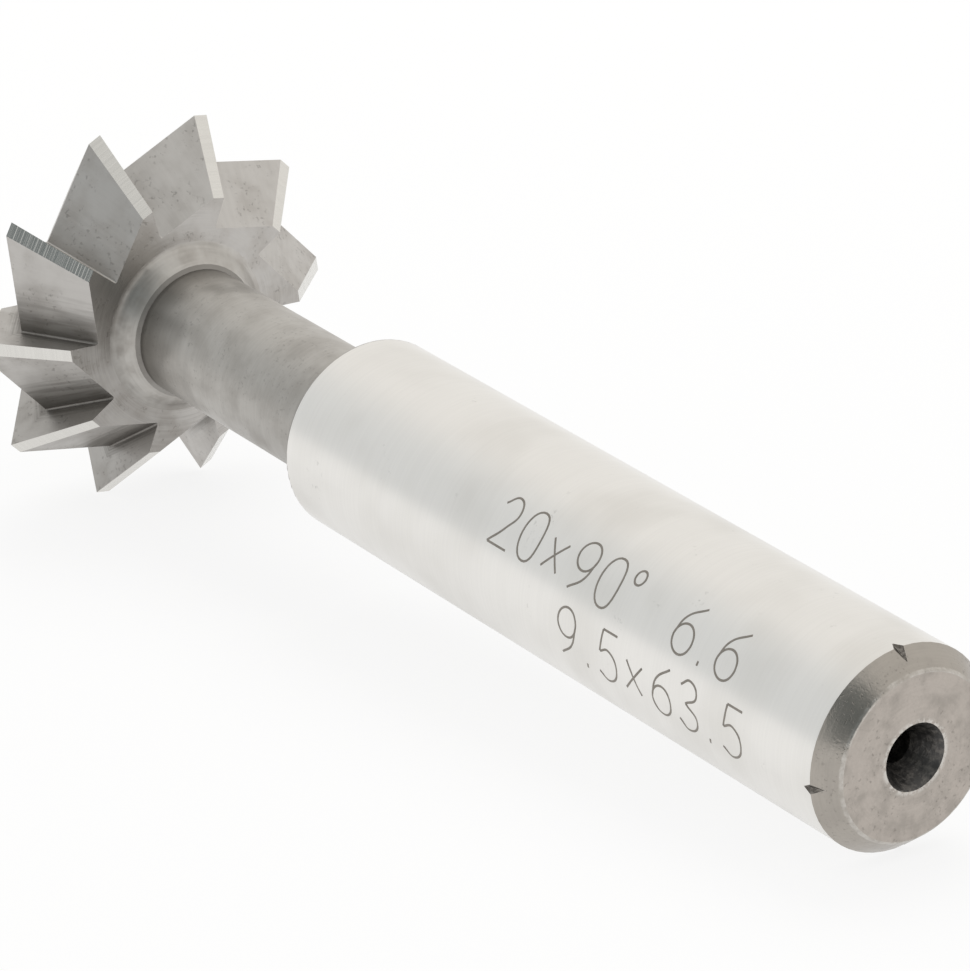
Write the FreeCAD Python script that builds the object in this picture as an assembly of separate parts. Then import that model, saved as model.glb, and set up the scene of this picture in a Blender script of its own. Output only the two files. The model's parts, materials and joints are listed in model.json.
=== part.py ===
import FreeCAD, Part
import math
import os

# Double angle milling cutter with a straight shank: one turned, milled and ground piece of steel.
# It is drawn about the Z axis, with the middle plane of the head at z = 0, the shank end at +z
# and local +X pointing at the table. At the end it is laid down on two tooth tips and the shank rim.

# Head
TEETH = 10
TIP_D = 20.0            # over the tooth tips
HEAD_W = 6.6            # between the two hub faces
CONE_ANGLE = 90.0       # included angle of the cutting edges
LAND_W = 0.6            # ground land behind each cutting edge
LAND_RELIEF = 8.0       # degrees the land falls away behind the edge
GULLET_TIP_R = 7.5      # gullet bottom from the axis, at the middle plane
GULLET_HUB_R = 5.1      # gullet bottom from the axis, at a hub face
GULLET_ROUND = 0.1      # radius in the gullet bottom

# Shank, neck and ends
LENGTH = 63.5           # over all
SHANK_D = 9.525
SHANK_LEN = 40.75       # with its end chamfer
NECK_D = 6.5
COLLAR_D = 8.5          # foot of the cone between hub face and neck
COLLAR_ANGLE = 45.0     # of that cone against the axis
COLLAR_STEP = 0.22      # small step in from the end of the cone to the neck
COLLAR_ROUND = 0.6      # hollow radius at the foot of the cone
SHOULDER_ROUND = 0.15   # broken edge of the shank shoulder
END_CHAMFER_LEN = 1.07
END_FACE_D = 7.8
END_ROUND = 0.12        # soft edge between end chamfer and end face

# Centre holes, one in each end
CENTRE_D = 3.15         # mouth of the cone
CENTRE_ANGLE = 60.0
PILOT_D = 1.6
PILOT_DEPTH = 3.2       # from the end face to the end of the pilot's straight part
PILOT_POINT = 118.0

# Drive marks across the rim of the shank end
NICKS = [(5.2, 0.5), (99.2, 0.5), (185.2, 0.57), (279.2, 0.47)]  # degrees, share of the chamfer
NICK_START = 0.42       # on the shank, before the chamfer
NICK_ANGLE = 112.0      # included angle of the V

TIP_R = TIP_D / 2
HALF_W = HEAD_W / 2
HUB_R = TIP_R - HALF_W * math.tan(math.radians(CONE_ANGLE / 2))
NECK_R = NECK_D / 2
COLLAR_R = COLLAR_D / 2
SHANK_R = SHANK_D / 2
END_R = END_FACE_D / 2
END_Z = LENGTH - HALF_W
CHAMFER_Z = END_Z - END_CHAMFER_LEN
SHOULDER_Z = END_Z - SHANK_LEN
PITCH = 360.0 / TEETH
FIRST_TOOTH = PITCH / 2
REACH = 2 * TIP_R       # far enough to pass out of the head

AXIS = FreeCAD.Vector(0, 0, 1)
ORIGIN = FreeCAD.Vector(0, 0, 0)


def point(radius, height, degrees=0.0):
    turn = math.radians(degrees)
    return FreeCAD.Vector(radius * math.cos(turn), radius * math.sin(turn), height)


def prism(corners, path):
    face = Part.Face(Part.makePolygon(corners + [corners[0]]))
    return face.extrude(path)


def turned(corners):
    """Turns a closed outline about the axis; each corner is (radius, height, rounding)."""
    points = [point(radius, height) for radius, height, rounding in corners]
    starts = []
    ends = []
    edges = []
    for i, here in enumerate(points):
        rounding = corners[i][2]
        back = (points[i - 1] - here).normalize()
        ahead = (points[(i + 1) % len(points)] - here).normalize()
        half = back.getAngle(ahead) / 2
        if rounding == 0:
            starts.append(here)
            ends.append(here)
            continue
        start = here + back * (rounding / math.tan(half))
        end = here + ahead * (rounding / math.tan(half))
        inward = (back + ahead).normalize()
        middle = here + inward * (rounding / math.sin(half) - rounding)
        edges.append(Part.Arc(start, middle, end).toShape())
        starts.append(start)
        ends.append(end)
    for i in range(len(points)):
        edges.append(Part.LineSegment(ends[i - 1], starts[i]).toShape())
    wire = Part.Wire(Part.__sortEdges__(edges))
    return Part.Face(wire).revolve(ORIGIN, AXIS, 360)


def head_blank():
    return turned([(0, -HALF_W, 0), (HUB_R, -HALF_W, 0), (TIP_R, 0, 0), (HUB_R, HALF_W, 0), (0, HALF_W, 0)])


def shank_and_neck():
    """The part behind the head; its core reaches into the head so that the two join."""
    core_r = COLLAR_R + COLLAR_ROUND
    top_r = NECK_R + COLLAR_STEP
    top_z = HALF_W + (COLLAR_R - top_r) / math.tan(math.radians(COLLAR_ANGLE))
    return turned([
        (0, 0, 0), (core_r, 0, 0), (core_r, HALF_W, 0), (COLLAR_R, HALF_W, COLLAR_ROUND),
        (top_r, top_z, 0), (NECK_R, top_z + COLLAR_STEP / 2, 0), (NECK_R, SHOULDER_Z, 0),
        (SHANK_R, SHOULDER_Z, SHOULDER_ROUND), (SHANK_R, CHAMFER_Z, 0),
        (END_R, END_Z, END_ROUND), (0, END_Z, 0)])


def centre_hole():
    """A countersunk pilot hole that opens at z = 0 and goes down along -z."""
    mouth_r = CENTRE_D / 2
    pilot_r = PILOT_D / 2
    cone_depth = (mouth_r - pilot_r) / math.tan(math.radians(CENTRE_ANGLE / 2))
    tip_depth = PILOT_DEPTH + pilot_r / math.tan(math.radians(PILOT_POINT / 2))
    lip = 0.5
    lip_r = mouth_r + lip * math.tan(math.radians(CENTRE_ANGLE / 2))
    return turned([
        (0, lip, 0), (lip_r, lip, 0), (pilot_r, -cone_depth, 0),
        (pilot_r, -PILOT_DEPTH, 0), (0, -tip_depth, 0)])


def gullet_side():
    """One side's gullet in front of the tooth whose rake face lies in the XZ half plane."""
    bottom = point(GULLET_TIP_R, 0)
    along = (point(GULLET_HUB_R, HALF_W) - bottom).normalize()
    back_angle = math.radians(LAND_RELIEF)
    land_turn = math.degrees(math.atan2(LAND_W * math.cos(back_angle), TIP_R)) - PITCH
    heel = point(TIP_R, 0, land_turn)
    rake = FreeCAD.Vector(0, 1, 0).cross(along).normalize()
    slope = heel - bottom
    slope = (slope - along * slope.dot(along)).normalize()
    half = rake.getAngle(slope) / 2
    start = bottom - along * REACH
    round_off = GULLET_ROUND / math.tan(half)
    low = start + (rake + slope).normalize() * (GULLET_ROUND / math.sin(half) - GULLET_ROUND)
    near = start + rake * round_off
    far = start + slope * round_off
    edges = [
        Part.Arc(near, low, far).toShape(),
        Part.LineSegment(far, start + slope * REACH).toShape(),
        Part.LineSegment(start + slope * REACH, start + rake * REACH).toShape(),
        Part.LineSegment(start + rake * REACH, near).toShape()]
    return Part.Face(Part.Wire(Part.__sortEdges__(edges))).extrude(along * (2 * REACH))


def relief_side():
    """The thin wedge ground off behind one cutting edge, on one side of the head."""
    edge = (point(HUB_R, HALF_W) - point(TIP_R, 0)).normalize()
    back = FreeCAD.Vector(0, 1, 0)
    out = back.cross(edge).normalize()
    start = point(TIP_R, 0) - edge
    width = 2 * LAND_W
    drop = width * math.tan(math.radians(LAND_RELIEF))
    corners = [start, start + back * width - out * drop, start + back * width + out * width]
    return prism(corners, edge * (REACH / 2))


def both_sides(side):
    return [side, side.mirror(ORIGIN, AXIS)]


def nick(turn, share):
    """A V cut across the rim of the shank end that ends at a share of the chamfer."""
    first = point(SHANK_R, CHAMFER_Z - NICK_START)
    last = point(SHANK_R - share * (SHANK_R - END_R), CHAMFER_Z + share * END_CHAMFER_LEN)
    along = (last - first).normalize()
    side = FreeCAD.Vector(0, 1, 0)
    out = side.cross(along).normalize()
    depth = 1.0
    reach = depth * math.tan(math.radians(NICK_ANGLE / 2))
    start = first - along
    corners = [start, start + out * depth + side * reach, start + out * depth - side * reach]
    cut = prism(corners, along * 4)
    cut.rotate(ORIGIN, AXIS, turn)
    return cut


def turned_copies(shapes, first, step, count):
    copies = []
    for i in range(count):
        for shape in shapes:
            copy = shape.copy()
            copy.rotate(ORIGIN, AXIS, first + i * step)
            copies.append(copy)
    return copies


def laid_down(shape):
    """Tips the piece over onto two tooth tips and the shank rim, with its box centred at the origin."""
    tips_below = TIP_R * math.cos(math.radians(PITCH / 2))
    lean = math.degrees(math.atan2(tips_below - SHANK_R, CHAMFER_Z))
    shape.rotate(ORIGIN, FreeCAD.Vector(0, 1, 0), 90 + lean)
    box = shape.optimalBoundingBox(False)
    shape.translate(FreeCAD.Vector(-box.Center.x, -box.Center.y, -box.ZMin))
    return shape


head = head_blank()
gullets = turned_copies(both_sides(gullet_side()), FIRST_TOOTH, PITCH, TEETH)
reliefs = turned_copies(both_sides(relief_side()), FIRST_TOOTH, PITCH, TEETH)
head = head.cut(gullets)
head = head.cut(reliefs)

cutter = head.fuse(shank_and_neck())
shank_centre = centre_hole()
shank_centre.translate(point(0, END_Z))
head_centre = centre_hole().mirror(ORIGIN, AXIS)
head_centre.translate(point(0, -HALF_W))
nicks = [nick(turn, share) for turn, share in NICKS]
cutter = cutter.cut([shank_centre, head_centre] + nicks)
cutter = laid_down(cutter.removeSplitter())

os.makedirs("parts", exist_ok=True)
cutter.exportStep("parts/cutter.step")
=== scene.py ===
import json
import math

import bpy
from bpy.props import FloatProperty, FloatVectorProperty, PointerProperty, StringProperty
from mathutils import Matrix, Vector


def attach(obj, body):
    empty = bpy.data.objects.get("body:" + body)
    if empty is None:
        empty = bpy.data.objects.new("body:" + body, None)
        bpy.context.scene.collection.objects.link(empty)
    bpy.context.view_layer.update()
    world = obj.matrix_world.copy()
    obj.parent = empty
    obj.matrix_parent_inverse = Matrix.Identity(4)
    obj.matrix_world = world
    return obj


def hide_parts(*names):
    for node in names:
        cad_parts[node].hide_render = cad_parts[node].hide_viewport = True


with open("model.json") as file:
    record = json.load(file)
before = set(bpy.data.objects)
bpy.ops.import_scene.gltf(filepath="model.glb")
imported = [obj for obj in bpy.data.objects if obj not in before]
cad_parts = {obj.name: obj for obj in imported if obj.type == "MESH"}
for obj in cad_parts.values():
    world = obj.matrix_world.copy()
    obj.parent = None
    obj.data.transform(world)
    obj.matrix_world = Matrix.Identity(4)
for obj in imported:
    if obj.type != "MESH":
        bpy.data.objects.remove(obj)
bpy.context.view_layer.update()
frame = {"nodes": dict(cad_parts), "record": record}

bl_info = {
    "name": "Double angle milling cutter",
    "version": (1, 1, 0),
    "blender": (4, 5, 0),
    "location": "3D Viewport > Sidebar > Cutter",
    "description": "Finishes a double angle milling cutter and sets it in a plain studio",
    "category": "Object",
}

MM = 0.001
NODE = "cutter"
BODY = "root"

# The shank mount gives the cutter's axis. Places along it are in mm from the middle of the head.
# DOWN is square to it and points at the table, and SIDE is level.
SHANK = frame["record"]["mounts"][0]
ALONG = Vector(SHANK["axis"]).normalized()
HEAD_TO_SHANK_MIDDLE = 39.37
HEAD = Vector(SHANK["pos_m"]) / MM - ALONG * HEAD_TO_SHANK_MIDDLE
LEAN = math.atan2(-ALONG.z, ALONG.x)
DOWN = Vector((ALONG.z, 0.0, -ALONG.x))
SIDE = ALONG.cross(DOWN)

# The cutter's own places along the axis, which end in _S, and radii, which end in _R, in mm
SHANK_R = SHANK["dims"]["r_mm"]
TIP_R = 10.0
HUB_S = 3.3
COLLAR_TOP_S = 4.08
SHOULDER_S = 19.45
CHAMFER_S = 59.13
END_S = 60.2
CENTRE_R = 1.575
GULLET_TIP_R = 7.5
GULLET_HUB_R = 5.1
GULLET_SLOPE = (GULLET_TIP_R - GULLET_HUB_R) / HUB_S

# Limits that sort the faces by the place of their middles, in mm
SLACK = 0.01
STRUCK_START_S = CHAMFER_S - 0.62
HOLE_RIM_R = CENTRE_R + 0.05
HOLE_INNER_R = CENTRE_R - 0.1
HOLE_BOTTOM_S = END_S - 4.0
SHOULDER_RIM_S = SHOULDER_S + 0.2
COLLAR_LEAST_R = SHANK_R - 1.3
LAND_LEAST_R = TIP_R - 0.3
CREASE_START_S = HUB_S + 0.3
CREASE_END_S = SHOULDER_S - 1.0

# Limits that sort them by the way they look, as cosines: forward along the axis, outward, round about it
END_FORWARD = 0.995
HUB_FORWARD = 0.9
HOLE_FORWARD = 0.95
LAND_OUTWARD = 0.5
LAND_ROUND_ABOUT = 0.4
STRUCK_ROUND_ABOUT = 0.35


def linear(hex_colour):
    """The linear colour of an sRGB hex value such as #8A857F."""
    channels = [int(hex_colour[i:i + 2], 16) / 255 for i in (1, 3, 5)]
    return [c / 12.92 if c <= 0.04045 else ((c + 0.055) / 1.055) ** 2.4 for c in channels] + [1.0]


def add_node(tree, kind, links=None, **settings):
    """Adds a node with its settings. Links gives an input a value, or the node or socket that feeds it."""
    node = tree.nodes.new(kind)
    for name, value in settings.items():
        setattr(node, name, value)
    for key, value in (links or {}).items():
        entry = node.inputs[key] if isinstance(key, int) else next(
            socket for socket in node.inputs if socket.enabled and socket.name == key)
        if isinstance(value, bpy.types.Node):
            value = next(socket for socket in value.outputs if socket.enabled)
        if isinstance(value, bpy.types.NodeSocket):
            tree.links.new(value, entry)
        else:
            entry.default_value = value
    return node


class Steel:
    """One finish of the cutter, its colour laid in layers. Patterns are in mm and follow the axis."""

    # Noise values at which a line or a pit starts and is full
    LINE_START = 0.35
    LINE_FULL = 0.65
    PIT_START = 0.58
    PIT_FULL = 0.74
    # A cluster of pits is this many pits across, and fades over this range of noise
    CLUSTER = 9
    CLUSTER_FADE = 0.16
    NOISE_ROUGHNESS = 0.6
    # Share of its height that counts in how far a point is from the side with painted shade
    HEIGHT_SHARE = 0.5

    def __init__(self, name, colour):
        self.material = bpy.data.materials.new(name)
        self.material.use_nodes = True
        self.tree = self.material.node_tree
        self.tree.nodes.clear()
        self.colour = colour
        place = add_node(self.tree, "ShaderNodeTexCoord")
        turned_head = Matrix.Rotation(-LEAN, 3, "Y") @ HEAD
        self.place = add_node(self.tree, "ShaderNodeMapping", {
            "Vector": place.outputs["Object"], "Location": tuple(-turned_head),
            "Rotation": (0.0, -LEAN, 0.0), "Scale": (1 / MM, 1 / MM, 1 / MM)})
        # In mm: along the axis from the middle of the head, level across it, up from it, and away from it
        parts = add_node(self.tree, "ShaderNodeSeparateXYZ", {"Vector": self.place})
        self.along, self.row, self.height = parts.outputs
        across = add_node(self.tree, "ShaderNodeCombineXYZ", {"Y": self.row, "Z": self.height})
        length = add_node(self.tree, "ShaderNodeVectorMath", {0: across}, operation="LENGTH")
        self.radius = length.outputs["Value"]

    def off_shaded_side(self):
        """How far a point is from the side that is painted in shade, which is low and toward -Y."""
        return add_node(
            self.tree, "ShaderNodeMath", {0: self.height, 1: self.HEIGHT_SHARE, 2: self.row},
            operation="MULTIPLY_ADD")

    def above_gullet(self):
        """How far out a point lies from the gullet bottom, which climbs to the middle from both sides."""
        from_middle = add_node(self.tree, "ShaderNodeMath", {0: self.along}, operation="ABSOLUTE")
        from_bottom = add_node(
            self.tree, "ShaderNodeMath", {0: self.radius, 1: GULLET_TIP_R}, operation="SUBTRACT")
        return add_node(
            self.tree, "ShaderNodeMath", {0: from_middle, 1: GULLET_SLOPE, 2: from_bottom},
            operation="MULTIPLY_ADD")

    def lines(self, measure, spacing, length):
        """Lines along which a measure stays equal, about `spacing` mm apart and `length` mm long."""
        x = add_node(self.tree, "ShaderNodeMath", {0: measure, 1: 1 / spacing}, operation="MULTIPLY")
        y = add_node(self.tree, "ShaderNodeMath", {0: self.row, 1: 1 / length}, operation="MULTIPLY")
        z = add_node(self.tree, "ShaderNodeMath", {0: self.height, 1: 1 / length}, operation="MULTIPLY")
        drawn = add_node(self.tree, "ShaderNodeCombineXYZ", {"X": x, "Y": y, "Z": z})
        noise = add_node(self.tree, "ShaderNodeTexNoise", {"Vector": drawn, "Scale": 1.0, "Detail": 2.0})
        return add_node(self.tree, "ShaderNodeMapRange", {
            "Value": noise, "From Min": self.LINE_START, "From Max": self.LINE_FULL},
            interpolation_type="SMOOTHSTEP")

    def patches(self, size, low, high, detail=3.0, most=1.0):
        """Soft patches about `size` mm across, from 0 where the noise is under low to most over high."""
        noise = add_node(self.tree, "ShaderNodeTexNoise", {
            "Vector": self.place, "Scale": 1 / size, "Detail": detail, "Roughness": self.NOISE_ROUGHNESS})
        return add_node(self.tree, "ShaderNodeMapRange", {
            "Value": noise, "From Min": low, "From Max": high, "To Max": most},
            interpolation_type="SMOOTHSTEP")

    def pits(self, size, rare=0.42):
        """Shallow pits about `size` mm across that stand in clusters, fewer where rare is higher."""
        spots = self.patches(size, self.PIT_START, self.PIT_FULL, detail=1.0)
        clusters = self.patches(size * self.CLUSTER, rare, rare + self.CLUSTER_FADE)
        return add_node(self.tree, "ShaderNodeMath", {0: spots, 1: clusters}, operation="MULTIPLY")

    def zone(self, measure, start, end, pattern, shift, least=0.0, most=1.0):
        """From least at start to most at end of a measure in mm. A pattern moves the border by `shift`."""
        moved = add_node(
            self.tree, "ShaderNodeMath", {0: pattern, 1: shift, 2: measure}, operation="MULTIPLY_ADD")
        return add_node(self.tree, "ShaderNodeMapRange", {
            "Value": moved, "From Min": start, "From Max": end, "To Min": least, "To Max": most},
            interpolation_type="SMOOTHSTEP")

    def tint(self, colour, pattern, strength):
        """Lays a colour over the colour so far where a pattern is. The strength may be a pattern too."""
        share = add_node(self.tree, "ShaderNodeMath", {0: pattern, 1: strength}, operation="MULTIPLY")
        self.colour = add_node(
            self.tree, "ShaderNodeMix", {"Factor": share, "A": self.colour, "B": colour}, data_type="RGBA")

    def finish(self, pattern, shiny, dull, reliefs):
        """Ends in one metal shader, duller where a pattern is. Reliefs have heights in mm, pits below 0."""
        roughness = add_node(
            self.tree, "ShaderNodeMapRange", {"Value": pattern, "To Min": shiny, "To Max": dull})
        links = {"Metallic": 1.0, "Base Color": self.colour, "Roughness": roughness}
        for relief, height in reliefs:
            bump = {"Height": relief, "Distance": abs(height) * MM, "Strength": 1.0}
            if "Normal" in links:
                bump["Normal"] = links["Normal"]
            links["Normal"] = add_node(self.tree, "ShaderNodeBump", bump, invert=height < 0)
        shader = add_node(self.tree, "ShaderNodeBsdfPrincipled", links)
        add_node(self.tree, "ShaderNodeOutputMaterial", {"Surface": shader})
        return self.material


def ground_shank_steel(colours):
    """High speed steel ground between centres: pale and satin, faint rings and smudges, rare nicks."""
    steel = Steel("ground_shank_steel", colours.ground)
    # Wheel marks are about 0.02 mm apart; they are drawn 0.12 mm apart so that they show
    rings = steel.lines(steel.along, spacing=0.12, length=6.0)
    smudges = steel.patches(size=5.0, low=0.4, high=0.8, detail=2.0)
    nicks = steel.pits(size=0.22, rare=0.6)
    steel.tint(colours.ground_bright, rings, strength=0.5)
    steel.tint(colours.smudge, smudges, strength=0.3)
    steel.tint(colours.stain_and_shade, nicks, strength=0.24)
    return steel.finish(smudges, shiny=0.28, dull=0.32, reliefs=[(rings, 0.0001), (nicks, -0.002)])


def turned_hub_steel(colours):
    """Steel faced on a lathe and then hardened: fine rings, a dull grey skin, brownish blooms, pits and
    painted shade on its low side.
    """
    steel = Steel("turned_hub_steel", colours.hub)
    # Turning marks are about 0.08 mm apart
    rings = steel.lines(steel.radius, spacing=0.08, length=3.0)
    blooms = steel.patches(size=1.8, low=0.35, high=0.75)
    pits = steel.pits(size=0.2)
    # Painted shade: the hub face is darker toward its low side, toward -Y
    shaded_side = steel.zone(steel.off_shaded_side(), start=-0.5, end=-4.5, pattern=blooms, shift=-0.8)
    steel.tint(colours.bloom, blooms, strength=0.55)
    steel.tint(colours.stain_and_shade, rings, strength=steel.patches(size=2.4, low=0.35, high=0.7, most=0.24))
    steel.tint(colours.stain_and_shade, shaded_side, strength=0.3)
    steel.tint(colours.stain_and_shade, pits, strength=0.3)
    return steel.finish(blooms, shiny=0.32, dull=0.44, reliefs=[(rings, 0.0018), (pits, -0.005)])


def turned_neck_steel(colours):
    """The relieved neck, turned and left as hardened: rings round it, blooms, painted shade at its root and
    on its low side.
    """
    steel = Steel("turned_neck_steel", colours.neck)
    rings = steel.lines(steel.along, spacing=0.1, length=2.5)
    blooms = steel.patches(size=1.8, low=0.35, high=0.75)
    pits = steel.pits(size=0.18)
    clouds = steel.patches(size=2.2, low=0.3, high=0.7, detail=1.0)
    # Painted shade: a dark cloud at the neck's root, stronger up high, darkest in the crease and on the
    # step beside the collar
    cloudy_root = steel.zone(
        steel.along, start=COLLAR_TOP_S + 2.4, end=COLLAR_TOP_S + 0.2, pattern=clouds, shift=-2.8)
    upper = steel.zone(steel.height, start=-2.9, end=-0.6, pattern=clouds, shift=0.3, least=0.04, most=0.3)
    crease = steel.zone(
        steel.along, start=COLLAR_TOP_S + 1.5, end=COLLAR_TOP_S + 0.5, pattern=clouds, shift=-0.4)
    step = steel.zone(
        steel.along, start=COLLAR_TOP_S + 0.45, end=COLLAR_TOP_S + 0.14, pattern=clouds, shift=-0.15)
    # Painted shade on the neck's low side, toward -Y, near the shoulder
    near_shoulder = steel.zone(steel.along, start=8.0, end=17.0, pattern=blooms, shift=2.0, most=0.18)
    steel.tint(colours.bloom, blooms, strength=0.3)
    steel.tint(colours.stain_and_shade, rings, strength=0.06)
    steel.tint(colours.stain_and_shade, pits, strength=0.25)
    low_side = steel.zone(steel.row, start=0.5, end=-2.8, pattern=blooms, shift=-0.6)
    steel.tint(colours.stain_and_shade, low_side, strength=near_shoulder)
    steel.tint(colours.stain_and_shade, cloudy_root, strength=upper)
    steel.tint(colours.stain_and_shade, crease, strength=0.12)
    steel.tint(colours.stain_and_shade, step, strength=0.36)
    return steel.finish(blooms, shiny=0.42, dull=0.52, reliefs=[(rings, 0.0008), (pits, -0.004)])


def turned_collar_steel(colours):
    """The cone between hub face and neck: turned, hardened and rubbed lighter than the faces beside it,
    with painted shade at its foot on the low side.
    """
    steel = Steel("turned_collar_steel", colours.collar)
    rings = steel.lines(steel.radius, spacing=0.09, length=3.0)
    blooms = steel.patches(size=1.4, low=0.35, high=0.7)
    # Painted shade at the foot of the cone, by the hub face, strongest on the low side
    foot = steel.zone(steel.radius, start=3.7, end=4.5, pattern=blooms, shift=0.3)
    shaded_side = steel.zone(steel.off_shaded_side(), start=1.0, end=-3.0, pattern=blooms, shift=-0.8, most=0.4)
    steel.tint(colours.bloom, blooms, strength=0.5)
    steel.tint(colours.stain_and_shade, rings, strength=steel.patches(size=1.8, low=0.35, high=0.7, most=0.18))
    steel.tint(colours.stain_and_shade, foot, strength=shaded_side)
    return steel.finish(blooms, shiny=0.38, dull=0.46, reliefs=[(rings, 0.001)])


def milled_gullet_steel(colours):
    """Milled and hardened tooth gaps: lines along the gullet, pits, painted shade toward the bottom and on
    the low side.
    """
    steel = Steel("milled_gullet_steel", colours.hardened)
    above = steel.above_gullet()
    # Feed lines run along the gullet bottom, about 0.06 mm apart, and are drawn 0.1 mm apart
    lines = steel.lines(above, spacing=0.1, length=1.8)
    blooms = steel.patches(size=2.0, low=0.35, high=0.75)
    pits = steel.pits(size=0.21)
    # Painted shade: darker toward the gullet bottom, toward -Y and lower down on the head
    side_shade = steel.zone(steel.row, start=3.0, end=0.0, pattern=blooms, shift=0.5, least=0.25, most=1.0)
    lower_shade = steel.zone(steel.height, start=3.5, end=0.5, pattern=blooms, shift=0.4, least=0.1, most=0.66)
    deep = steel.zone(above, start=0.8, end=-0.25, pattern=lines, shift=-0.35)
    deep_shade = add_node(steel.tree, "ShaderNodeMath", {0: deep, 1: side_shade}, operation="MULTIPLY")
    low = steel.zone(steel.height, start=1.0, end=-4.0, pattern=blooms, shift=-0.8, most=0.21)
    steel.tint(colours.bloom, blooms, strength=0.35)
    steel.tint(colours.stain_and_shade, lines, strength=0.03)
    steel.tint(colours.stain_and_shade, pits, strength=0.34)
    steel.tint(colours.stain_and_shade, deep_shade, strength=lower_shade)
    steel.tint(colours.stain_and_shade, low, strength=side_shade)
    return steel.finish(blooms, shiny=0.42, dull=0.54, reliefs=[(lines, 0.0003), (pits, -0.006)])


def ground_land_steel(colours):
    """The narrow lands ground bright behind the cutting edges, with wheel marks straight across them."""
    steel = Steel("ground_land_steel", colours.land)
    # The wheel marks that show are about 0.1 mm apart
    from_middle = add_node(steel.tree, "ShaderNodeMath", {0: steel.along}, operation="ABSOLUTE")
    stripes = steel.lines(from_middle, spacing=0.1, length=40.0)
    steel.tint(colours.hardened, stripes, strength=0.15)
    return steel.finish(stripes, shiny=0.2, dull=0.22, reliefs=[(stripes, 0.006)])


def faced_end_steel(colours):
    """The shank end, faced on a lathe and browned: rings, a torn grain, pits, a burr round the hole."""
    steel = Steel("faced_end_steel", colours.end)
    rings = steel.lines(steel.radius, spacing=0.12, length=2.0)
    blooms = steel.patches(size=0.9, low=0.38, high=0.7)
    pits = steel.pits(size=0.19)
    torn = steel.patches(size=0.14, low=0.3, high=0.7, detail=1.0)
    crumbs = steel.patches(size=0.18, low=0.42, high=0.58)
    burr = steel.zone(steel.radius, start=CENTRE_R + 0.32, end=CENTRE_R + 0.1, pattern=crumbs, shift=0.06)
    steel.tint(colours.bloom, blooms, strength=0.55)
    steel.tint(colours.stain_and_shade, rings, strength=0.05)
    steel.tint(colours.stain_and_shade, torn, strength=0.05)
    steel.tint(colours.stain_and_shade, pits, strength=0.36)
    steel.tint(colours.edge, burr, strength=crumbs)
    return steel.finish(
        blooms, shiny=0.42, dull=0.52, reliefs=[(rings, 0.001), (torn, 0.003), (pits, -0.006)])


def turned_chamfer_steel(colours):
    """The end chamfer, turned and satin: lines round it, a slightly torn grain and a rubbed inner rim."""
    steel = Steel("turned_chamfer_steel", colours.chamfer)
    rings = steel.lines(steel.along, spacing=0.07, length=1.2)
    blooms = steel.patches(size=0.9, low=0.35, high=0.75)
    pits = steel.pits(size=0.15)
    torn = steel.patches(size=0.14, low=0.3, high=0.7, detail=1.0)
    worn = steel.patches(size=0.4, low=0.28, high=0.72, most=0.7)
    rim = steel.zone(steel.along, start=END_S - 0.13, end=END_S - 0.07, pattern=worn, shift=0.04)
    steel.tint(colours.bloom, blooms, strength=0.4)
    steel.tint(colours.stain_and_shade, rings, strength=0.06)
    steel.tint(colours.stain_and_shade, pits, strength=0.3)
    steel.tint(colours.edge, rim, strength=worn)
    return steel.finish(
        blooms, shiny=0.28, dull=0.34, reliefs=[(rings, 0.001), (torn, 0.002), (pits, -0.005)])


def centre_hole_steel(colours):
    """The drilled centre holes: rough, and painted dark for the shade in them."""
    steel = Steel("centre_hole_steel", colours.scale)
    lumps = steel.patches(size=0.3, low=0.35, high=0.75)
    rings = steel.lines(steel.along, spacing=0.12, length=1.0)
    steel.tint(colours.bloom, lumps, strength=0.4)
    return steel.finish(lumps, shiny=0.42, dull=0.5, reliefs=[(lumps, 0.01), (rings, 0.002)])


def struck_mark_steel(colours):
    """The marks of a drive centre across the rim: pressed in, torn and dark."""
    steel = Steel("struck_mark_steel", colours.stain_and_shade)
    lumps = steel.patches(size=0.15, low=0.4, high=0.7)
    steel.tint(colours.bloom, lumps, strength=0.6)
    return steel.finish(lumps, shiny=0.36, dull=0.44, reliefs=[(lumps, 0.003)])


def worn_edge_steel(colours):
    """Broken edges that handling keeps bright, duller in places."""
    steel = Steel("worn_edge_steel", colours.edge)
    dull = steel.patches(size=0.6, low=0.45, high=0.65)
    steel.tint(colours.hardened, dull, strength=0.5)
    return steel.finish(dull, shiny=0.32, dull=0.38, reliefs=[])


def etched_number_steel(colours):
    """Numbers burnt in with an etching pencil: thin, matt and grey-brown, a little uneven."""
    steel = Steel("etched_number_steel", colours.etch)
    uneven = steel.patches(size=0.35, low=0.35, high=0.65)
    steel.tint(colours.bloom, uneven, strength=0.5)
    return steel.finish(uneven, shiny=0.46, dull=0.54, reliefs=[(uneven, 0.002)])


# In the order of the piece's material slots
FINISHES = [
    turned_hub_steel, turned_collar_steel, turned_neck_steel, milled_gullet_steel, ground_land_steel,
    ground_shank_steel, turned_chamfer_steel, faced_end_steel, centre_hole_steel, struck_mark_steel,
    worn_edge_steel]
HUB, COLLAR, NECK, GULLET, LAND, GROUND, CHAMFER, END, HOLE, STRUCK, EDGE = range(len(FINISHES))


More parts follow.
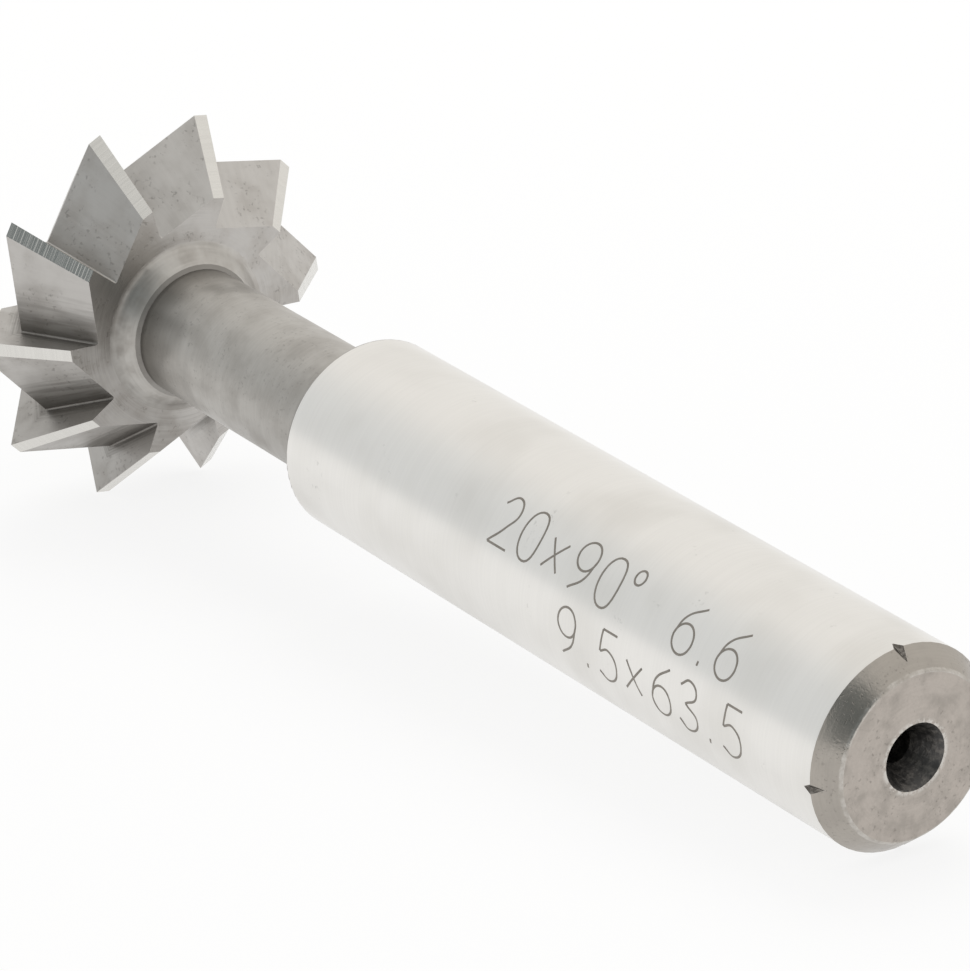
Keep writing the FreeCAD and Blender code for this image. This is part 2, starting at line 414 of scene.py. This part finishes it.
def finish_of(face):
    """Which finish a face has, from its place on the cutter and the way it looks."""
    offset = face.center / MM - HEAD
    along = offset.dot(ALONG)
    outward = offset - ALONG * along
    radius = outward.length
    outward.normalize()
    forward = face.normal.dot(ALONG)
    out = face.normal.dot(outward)
    round_about = abs(face.normal.dot(ALONG.cross(outward)))
    if radius < HOLE_RIM_R and abs(forward) < HOLE_FORWARD and (along > SHOULDER_S or along < 0):
        return HOLE
    if along > STRUCK_START_S and round_about > STRUCK_ROUND_ABOUT:
        return STRUCK
    if along > END_S - SLACK and forward > END_FORWARD:
        return END
    if along > CHAMFER_S and radius > HOLE_RIM_R:
        return CHAMFER
    if along > SHOULDER_RIM_S:
        return GROUND
    if along > SHOULDER_S - SLACK:
        return HUB
    if along > HUB_S + SLACK:
        return COLLAR if along < COLLAR_TOP_S and radius > COLLAR_LEAST_R else NECK
    if abs(forward) > HUB_FORWARD:
        return HUB
    if radius + abs(along) > LAND_LEAST_R and out > LAND_OUTWARD and round_about < LAND_ROUND_ABOUT:
        return LAND
    return GULLET


def select_only(piece):
    bpy.ops.object.select_all(action="DESELECT")
    piece.select_set(True)
    bpy.context.view_layer.objects.active = piece


class CutterColours(bpy.types.PropertyGroup):
    """Colours of the cutter's finishes"""
    ground: FloatVectorProperty(
        name="Ground shank", description="The ground shank", subtype="COLOR", size=4,
        default=linear("#E9E7E3"))
    ground_bright: FloatVectorProperty(
        name="Shank rings", description="The brighter rings of the shank", subtype="COLOR", size=4,
        default=linear("#EDEBE7"))
    smudge: FloatVectorProperty(
        name="Smudge", description="Finger marks on the shank", subtype="COLOR", size=4,
        default=linear("#C9C6BF"))
    hub: FloatVectorProperty(
        name="Hub", description="The turned faces of the head and shoulder", subtype="COLOR", size=4,
        default=linear("#BEBBB7"))
    hardened: FloatVectorProperty(
        name="Hardened skin", description="The tooth gaps", subtype="COLOR", size=4,
        default=linear("#C8C5C1"))
    bloom: FloatVectorProperty(
        name="Bloom", description="Brownish blooms on hardened steel", subtype="COLOR", size=4,
        default=linear("#A59F98"))
    collar: FloatVectorProperty(
        name="Collar", description="The cone beside the hub face", subtype="COLOR", size=4,
        default=linear("#C0BDB8"))
    neck: FloatVectorProperty(
        name="Neck", description="The matt skin of the neck", subtype="COLOR", size=4,
        default=linear("#C4C1BC"))
    # Dark colour for real stains, pits and lines, and also for painted shade on low sides, in the gullets,
    # at the neck's root and the collar's foot
    stain_and_shade: FloatVectorProperty(
        name="Stain", description="Dried oil, pits and dark lines", subtype="COLOR", size=4,
        default=linear("#5D5954"))
    # Painted shade: the dark colour of the centre holes
    scale: FloatVectorProperty(
        name="Scale", description="Dark scale in the holes", subtype="COLOR", size=4,
        default=linear("#525150"))
    land: FloatVectorProperty(
        name="Ground land", description="The bright lands behind the edges", subtype="COLOR", size=4,
        default=linear("#DDDBD6"))
    end: FloatVectorProperty(
        name="Shank end", description="The end face", subtype="COLOR", size=4, default=linear("#BCB4AC"))
    chamfer: FloatVectorProperty(
        name="Chamfer", description="The chamfer at the shank end", subtype="COLOR", size=4,
        default=linear("#AEA8A0"))
    edge: FloatVectorProperty(
        name="Worn edge", description="Broken edges", subtype="COLOR", size=4, default=linear("#D2CEC8"))
    etch: FloatVectorProperty(
        name="Etched numbers", description="The size numbers on the shank", subtype="COLOR", size=4,
        default=linear("#8E8981"))


class CutterSizes(bpy.types.PropertyGroup):
    """Sizes of what is added to the cutter"""
    edge_break: FloatProperty(
        name="Edge break", description="Width of the broken edges", default=0.04 * MM, unit="LENGTH")
    first_line: StringProperty(
        name="First line", description="Size over the teeth, angle and width", default="20×90° 6.6")
    second_line: StringProperty(
        name="Second line", description="Shank and length", default="9.5×63.5")
    number_height: FloatProperty(
        name="Number height", description="Height of the etched numbers", default=2.4 * MM, unit="LENGTH")
    stroke: FloatProperty(
        name="Stroke", description="Width of the etched line", default=0.112 * MM, unit="LENGTH")


class CutterStudio(bpy.types.PropertyGroup):
    """Light, floor and camera"""
    floor: FloatVectorProperty(
        name="Floor", description="Colour of the floor", subtype="COLOR", size=4, default=linear("#F6F5F3"))
    glow: FloatProperty(
        name="Floor glow", description="Share of plain white in the floor as it is seen", default=0.84)
    sky: FloatProperty(name="Sky", description="Soft light from all round", default=0.8)
    key: FloatProperty(name="Key", description="Softbox above the cutter", default=1.5, unit="POWER")
    camera_place: FloatVectorProperty(
        name="Camera place", description="Where the photograph was taken from", subtype="TRANSLATION",
        unit="LENGTH", default=(0.1953628, -0.1363734, 0.0910533))
    camera_turn: FloatVectorProperty(
        name="Camera turn", description="How the camera was held", subtype="EULER",
        default=[math.radians(angle) for angle in (70.7596, 0.58566, 54.7913)])
    lens: FloatProperty(name="Lens", description="Focal length on a 36 mm sensor, in mm", default=203.13)


class CUTTER_OT_dress(bpy.types.Operator):
    """Copy the cutter, break its edges and give each surface its finish"""
    bl_idname = "cutter.dress"
    bl_label = "Dress cutter"

    MERGE_UNDER = 0.0005 * MM
    FLAT_UNDER = math.radians(0.5)
    BROKEN_OVER = math.radians(28)
    SMOOTH_UNDER = math.radians(21)
    LARGE_FACE_WEIGHT = 90

    def execute(self, context):
        source = frame["nodes"][NODE]
        piece = source.copy()
        piece.data = source.data.copy()
        piece.name = "dressed_cutter"
        piece.parent = None
        for key in list(piece.keys()):
            del piece[key]
        context.scene.collection.objects.link(piece)
        select_only(piece)
        bpy.ops.mesh.customdata_custom_splitnormals_clear()
        bpy.ops.object.mode_set(mode="EDIT")
        bpy.ops.mesh.select_all(action="SELECT")
        bpy.ops.mesh.remove_doubles(threshold=self.MERGE_UNDER)
        bpy.ops.mesh.dissolve_limited(angle_limit=self.FLAT_UNDER)
        bpy.ops.object.mode_set(mode="OBJECT")
        piece.data.materials.clear()
        for finish in FINISHES:
            piece.data.materials.append(finish(context.scene.cutter_colours))
        for face in piece.data.polygons:
            face.material_index = finish_of(face)
        bevel = piece.modifiers.new("broken_edges", "BEVEL")
        bevel.limit_method = "ANGLE"
        bevel.angle_limit = self.BROKEN_OVER
        bevel.width = context.scene.cutter_sizes.edge_break
        bevel.segments = 2
        bevel.material = EDGE
        bpy.ops.object.modifier_apply(modifier=bevel.name)
        self.darken_creases(piece)
        bpy.ops.object.shade_smooth_by_angle(angle=self.SMOOTH_UNDER)
        self.keep_lands_flat(piece)
        # The large faces lead the shading, so that a narrow rounding doesn't bend it along the shank
        normals = piece.modifiers.new("large_faces_lead", "WEIGHTED_NORMAL")
        normals.weight = self.LARGE_FACE_WEIGHT
        normals.keep_sharp = True
        bpy.ops.object.modifier_apply(modifier=normals.name)
        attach(piece, BODY)
        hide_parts(NODE)
        return {"FINISHED"}

    @staticmethod
    def keep_lands_flat(piece):
        """Marks the borders of the ground lands sharp."""
        finishes = {}
        for face in piece.data.polygons:
            for key in face.edge_keys:
                finishes.setdefault(key, set()).add(face.material_index)
        for edge in piece.data.edges:
            if LAND in finishes[edge.key] and len(finishes[edge.key]) > 1:
                edge.use_edge_sharp = True

    @staticmethod
    def darken_creases(piece):
        """The step at the neck's root keeps the neck's skin with its painted shade, and the hole in the
        shank end stays painted dark.
        """
        for face in piece.data.polygons:
            if face.material_index != EDGE:
                continue
            offset = face.center / MM - HEAD
            along = offset.dot(ALONG)
            radius = (offset - ALONG * along).length
            if CREASE_START_S < along < CREASE_END_S:
                face.material_index = NECK
            elif along > HOLE_BOTTOM_S and radius < HOLE_INNER_R:
                face.material_index = HOLE


class Pen:
    """Strokes of the numbers, in a cell one unit high; each says if it is closed, and its knots.

    Strokes that meet start a hair apart, so that each stays a closed body of its own."""
    WIDTH = {"°": 0.34, ".": 0.26, " ": 0.8, "×": 0.62}
    PLAIN_WIDTH = 0.6
    GAP = 0.2
    GLYPHS = {
        "0": [(True, [(0.3, 1.0), (0.58, 0.5), (0.3, 0.0), (0.02, 0.5)])],
        "2": [(False, [(0.05, 0.8), (0.3, 1.0), (0.54, 0.76), (0.36, 0.38), (0.0, 0.0)]),
              (False, [(0.01, 0.0), (0.58, 0.0)])],
        "3": [(False, [(0.06, 0.86), (0.3, 1.0), (0.52, 0.78), (0.22, 0.54)]),
              (False, [(0.23, 0.54), (0.56, 0.28), (0.28, 0.0), (0.02, 0.16)])],
        "5": [(False, [(0.54, 1.0), (0.12, 1.0)]), (False, [(0.12, 0.99), (0.07, 0.56)]),
              (False, [(0.08, 0.56), (0.32, 0.64), (0.57, 0.34), (0.3, 0.0), (0.02, 0.12)])],
        "6": [(False, [(0.5, 0.98), (0.14, 0.68), (0.03, 0.3)]),
              (True, [(0.3, 0.58), (0.57, 0.29), (0.3, 0.0), (0.03, 0.29)])],
        "9": [(False, [(0.1, 0.02), (0.46, 0.32), (0.57, 0.7)]),
              (True, [(0.3, 1.0), (0.57, 0.71), (0.3, 0.42), (0.03, 0.71)])],
        "×": [(False, [(0.04, 0.12), (0.54, 0.7)]), (False, [(0.08, 0.7), (0.5, 0.12)])],
        "°": [(True, [(0.14, 1.0), (0.27, 0.85), (0.14, 0.7), (0.01, 0.85)])],
        ".": [(False, [(0.08, 0.0), (0.09, 0.09)])],
        " ": [],
    }

    @classmethod
    def write(cls, curve, text, height):
        """Adds the strokes of a text to a curve, from its start and on its base line."""
        start = 0.0
        for sign in text:
            for closed, points in cls.GLYPHS[sign]:
                spline = curve.splines.new("BEZIER")
                spline.bezier_points.add(len(points) - 1)
                spline.use_cyclic_u = closed
                for knot, (x, y) in zip(spline.bezier_points, points):
                    knot.co = ((start + x) * height, y * height, 0.0)
                    knot.handle_left_type = knot.handle_right_type = "AUTO"
            start += cls.WIDTH.get(sign, cls.PLAIN_WIDTH) + cls.GAP


class CUTTER_OT_etch(bpy.types.Operator):
    """Etch plain size numbers in two lines along the shank"""
    bl_idname = "cutter.etch"
    bl_label = "Etch numbers"

    # Where each line starts along the shank in mm, and the turn of its base line from the table side
    FIRST_START = 35.4
    FIRST_TURN = 251.0
    SECOND_START = 41.2
    SECOND_TURN = 289.0
    # Share of its round depth that a stroke keeps once it is pressed onto the shank
    PRESSED = 0.08
    MERGE_UNDER = 0.0001 * MM

    def execute(self, context):
        sizes = context.scene.cutter_sizes
        finish = etched_number_steel(context.scene.cutter_colours)
        for name, text, start, turn in (
                ("etched_first_line", sizes.first_line, self.FIRST_START, self.FIRST_TURN),
                ("etched_second_line", sizes.second_line, self.SECOND_START, self.SECOND_TURN)):
            curve = bpy.data.curves.new(name, "CURVE")
            curve.dimensions = "3D"
            curve.resolution_u = 8
            curve.bevel_depth = sizes.stroke / 2
            curve.bevel_resolution = 2
            curve.use_fill_caps = True
            Pen.write(curve, text, sizes.number_height)
            piece = bpy.data.objects.new(name, curve)
            context.scene.collection.objects.link(piece)
            select_only(piece)
            bpy.ops.object.convert(target="MESH")
            bpy.ops.object.mode_set(mode="EDIT")
            bpy.ops.mesh.select_all(action="SELECT")
            bpy.ops.mesh.remove_doubles(threshold=self.MERGE_UNDER)
            bpy.ops.object.mode_set(mode="OBJECT")
            self.wrap(piece, start, turn)
            piece.data.materials.clear()
            piece.data.materials.append(finish)
            bpy.ops.object.mode_set(mode="EDIT")
            bpy.ops.mesh.select_all(action="SELECT")
            bpy.ops.mesh.normals_make_consistent(inside=False)
            bpy.ops.object.mode_set(mode="OBJECT")
            bpy.ops.object.shade_smooth()
            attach(piece, BODY)
        return {"FINISHED"}

    @classmethod
    def wrap(cls, piece, start, turn):
        """Lays flat strokes round the shank, pressed so thin that they stand 0.005 mm proud of it."""
        for vertex in piece.data.vertices:
            x, y, z = vertex.co / MM
            angle = math.radians(turn) - y / SHANK_R
            place = HEAD + ALONG * (start + x)
            place += (DOWN * math.cos(angle) + SIDE * math.sin(angle)) * (SHANK_R + z * cls.PRESSED)
            vertex.co = place * MM


class CUTTER_OT_stage(bpy.types.Operator):
    """Lay a pale floor, light the cutter softly and set the camera where the photograph was taken"""
    bl_idname = "cutter.stage"
    bl_label = "Set stage"

    # Sizes and places are in metres
    FLOOR_SIZE = 8.0
    SOFTBOX_PLACE = (-0.25, 0.3, 0.55)
    SOFTBOX_SIZE = 0.5
    SENSOR_MM = 36.0
    NEAREST_SEEN = 0.01
    FARTHEST_SEEN = 20.0
    WHITE = (1.0, 1.0, 1.0, 1.0)
    # The room that the steel mirrors, and the parts of it that differ. Each part has the direction
    # to its middle, the cosines where it starts and is full, and its colour
    ROOM = (0.94, 0.925, 0.9, 1.0)
    COOL_FRONT = ((0.0, -1.0, 0.0), -0.1, 0.6, (0.77, 0.785, 0.79, 1.0))
    DARK_CORNER_TOP = ((0.62, -0.54, 0.57), 0.89, 0.97, (0.19, 0.215, 0.22, 1.0))
    DARK_CORNER = ((0.77, -0.61, 0.18), 0.86, 0.97, (0.19, 0.215, 0.22, 1.0))

    def execute(self, context):
        studio = context.scene.cutter_studio
        bpy.ops.object.select_all(action="DESELECT")
        bpy.ops.mesh.primitive_plane_add(size=self.FLOOR_SIZE, location=(0, 0, 0))
        floor = context.object
        floor.name = "floor"
        floor.data.materials.append(self.floor_material(studio))
        self.world(context, studio)
        self.softbox("key_softbox", self.SOFTBOX_PLACE, self.SOFTBOX_SIZE, studio.key)
        self.camera(context, studio)
        return {"FINISHED"}

    @classmethod
    def floor_material(cls, studio):
        """Matt white table. It glows in part where it is seen, in the steel too, so its shadow is faint."""
        material = bpy.data.materials.new("matt_white_table")
        material.use_nodes = True
        tree = material.node_tree
        tree.nodes.clear()
        share = add_node(tree, "ShaderNodeMath", {
            0: cls.seen_rays(tree), 1: studio.glow}, operation="MULTIPLY")
        paint = add_node(tree, "ShaderNodeBsdfDiffuse", {"Color": studio.floor})
        glow = add_node(tree, "ShaderNodeEmission", {"Color": cls.WHITE, "Strength": 1.0})
        surface = add_node(tree, "ShaderNodeMixShader", {0: share, 1: paint, 2: glow})
        add_node(tree, "ShaderNodeOutputMaterial", {"Surface": surface})
        return material

    @staticmethod
    def seen_rays(tree):
        """1 for rays that show a thing directly, in metal or through glass, 0 for rays that light it."""
        path = add_node(tree, "ShaderNodeLightPath")
        seen = path.outputs["Is Camera Ray"]
        for ray in ("Is Glossy Ray", "Is Transmission Ray"):
            seen = add_node(tree, "ShaderNodeMath", {0: seen, 1: path.outputs[ray]}, operation="MAXIMUM")
        return seen

    @classmethod
    def world(cls, context, studio):
        """White background and soft light. In the steel the room has a cool front and a dark corner."""
        world = bpy.data.worlds.new("studio")
        context.scene.world = world
        world.use_nodes = True
        tree = world.node_tree
        tree.nodes.clear()
        path = add_node(tree, "ShaderNodeLightPath")
        direction = add_node(tree, "ShaderNodeTexCoord").outputs["Generated"]
        room = cls.ROOM
        for middle, start, full, colour in (cls.COOL_FRONT, cls.DARK_CORNER_TOP, cls.DARK_CORNER):
            cosine = add_node(
                tree, "ShaderNodeVectorMath", {0: direction, 1: middle}, operation="DOT_PRODUCT")
            part = add_node(tree, "ShaderNodeMapRange", {
                "Value": cosine.outputs["Value"], "From Min": start, "From Max": full},
                interpolation_type="SMOOTHSTEP")
            room = add_node(
                tree, "ShaderNodeMix", {"Factor": part, "A": room, "B": colour}, data_type="RGBA")
        in_steel = add_node(tree, "ShaderNodeMix", {
            "Factor": path.outputs["Is Glossy Ray"], "A": cls.WHITE, "B": room}, data_type="RGBA")
        white = add_node(tree, "ShaderNodeBackground", {"Color": in_steel, "Strength": 1.0})
        soft = add_node(tree, "ShaderNodeBackground", {"Color": cls.WHITE, "Strength": studio.sky})
        surface = add_node(tree, "ShaderNodeMixShader", {
            0: cls.seen_rays(tree), 1: soft, 2: white})
        add_node(tree, "ShaderNodeOutputWorld", {"Surface": surface})

    @staticmethod
    def softbox(name, place, size, power):
        bpy.ops.object.light_add(type="AREA", location=place)
        lamp = bpy.context.object
        lamp.name = name
        lamp.data.shape = "DISK"
        lamp.data.size = size
        lamp.data.energy = power
        lamp.visible_glossy = False
        lamp.rotation_euler = (-Vector(place)).to_track_quat("-Z", "Y").to_euler()

    @classmethod
    def camera(cls, context, studio):
        data = bpy.data.cameras.new("camera")
        camera = bpy.data.objects.new("camera", data)
        context.scene.collection.objects.link(camera)
        camera.location = studio.camera_place
        camera.rotation_euler = studio.camera_turn
        data.sensor_width = cls.SENSOR_MM
        data.lens = studio.lens
        data.clip_start = cls.NEAREST_SEEN
        data.clip_end = cls.FARTHEST_SEEN
        context.scene.camera = camera


class CUTTER_PT_panel(bpy.types.Panel):
    """Steps and settings of the milling cutter"""
    bl_label = "Milling cutter"
    bl_idname = "CUTTER_PT_panel"
    bl_space_type = "VIEW_3D"
    bl_region_type = "UI"
    bl_category = "Cutter"

    def draw(self, context):
        layout = self.layout
        for operator in OPERATORS:
            layout.operator(operator.bl_idname)
        for group in (getattr(context.scene, name) for name in GROUPS):
            for name in group.bl_rna.properties.keys():
                if name not in ("rna_type", "name"):
                    layout.prop(group, name)


OPERATORS = (CUTTER_OT_dress, CUTTER_OT_etch, CUTTER_OT_stage)
GROUPS = {"cutter_colours": CutterColours, "cutter_sizes": CutterSizes, "cutter_studio": CutterStudio}


def register():
    for name, group in GROUPS.items():
        bpy.utils.register_class(group)
        setattr(bpy.types.Scene, name, PointerProperty(type=group))
    for item in OPERATORS + (CUTTER_PT_panel,):
        bpy.utils.register_class(item)


def unregister():
    for item in reversed(OPERATORS + (CUTTER_PT_panel,)):
        bpy.utils.unregister_class(item)
    for name, group in GROUPS.items():
        delattr(bpy.types.Scene, name)
        bpy.utils.unregister_class(group)


def main():
    register()
    bpy.context.scene.view_settings.view_transform = "Standard"
    bpy.ops.cutter.dress()
    bpy.ops.cutter.etch()
    bpy.ops.cutter.stage()


if __name__ == "__main__":
    main()
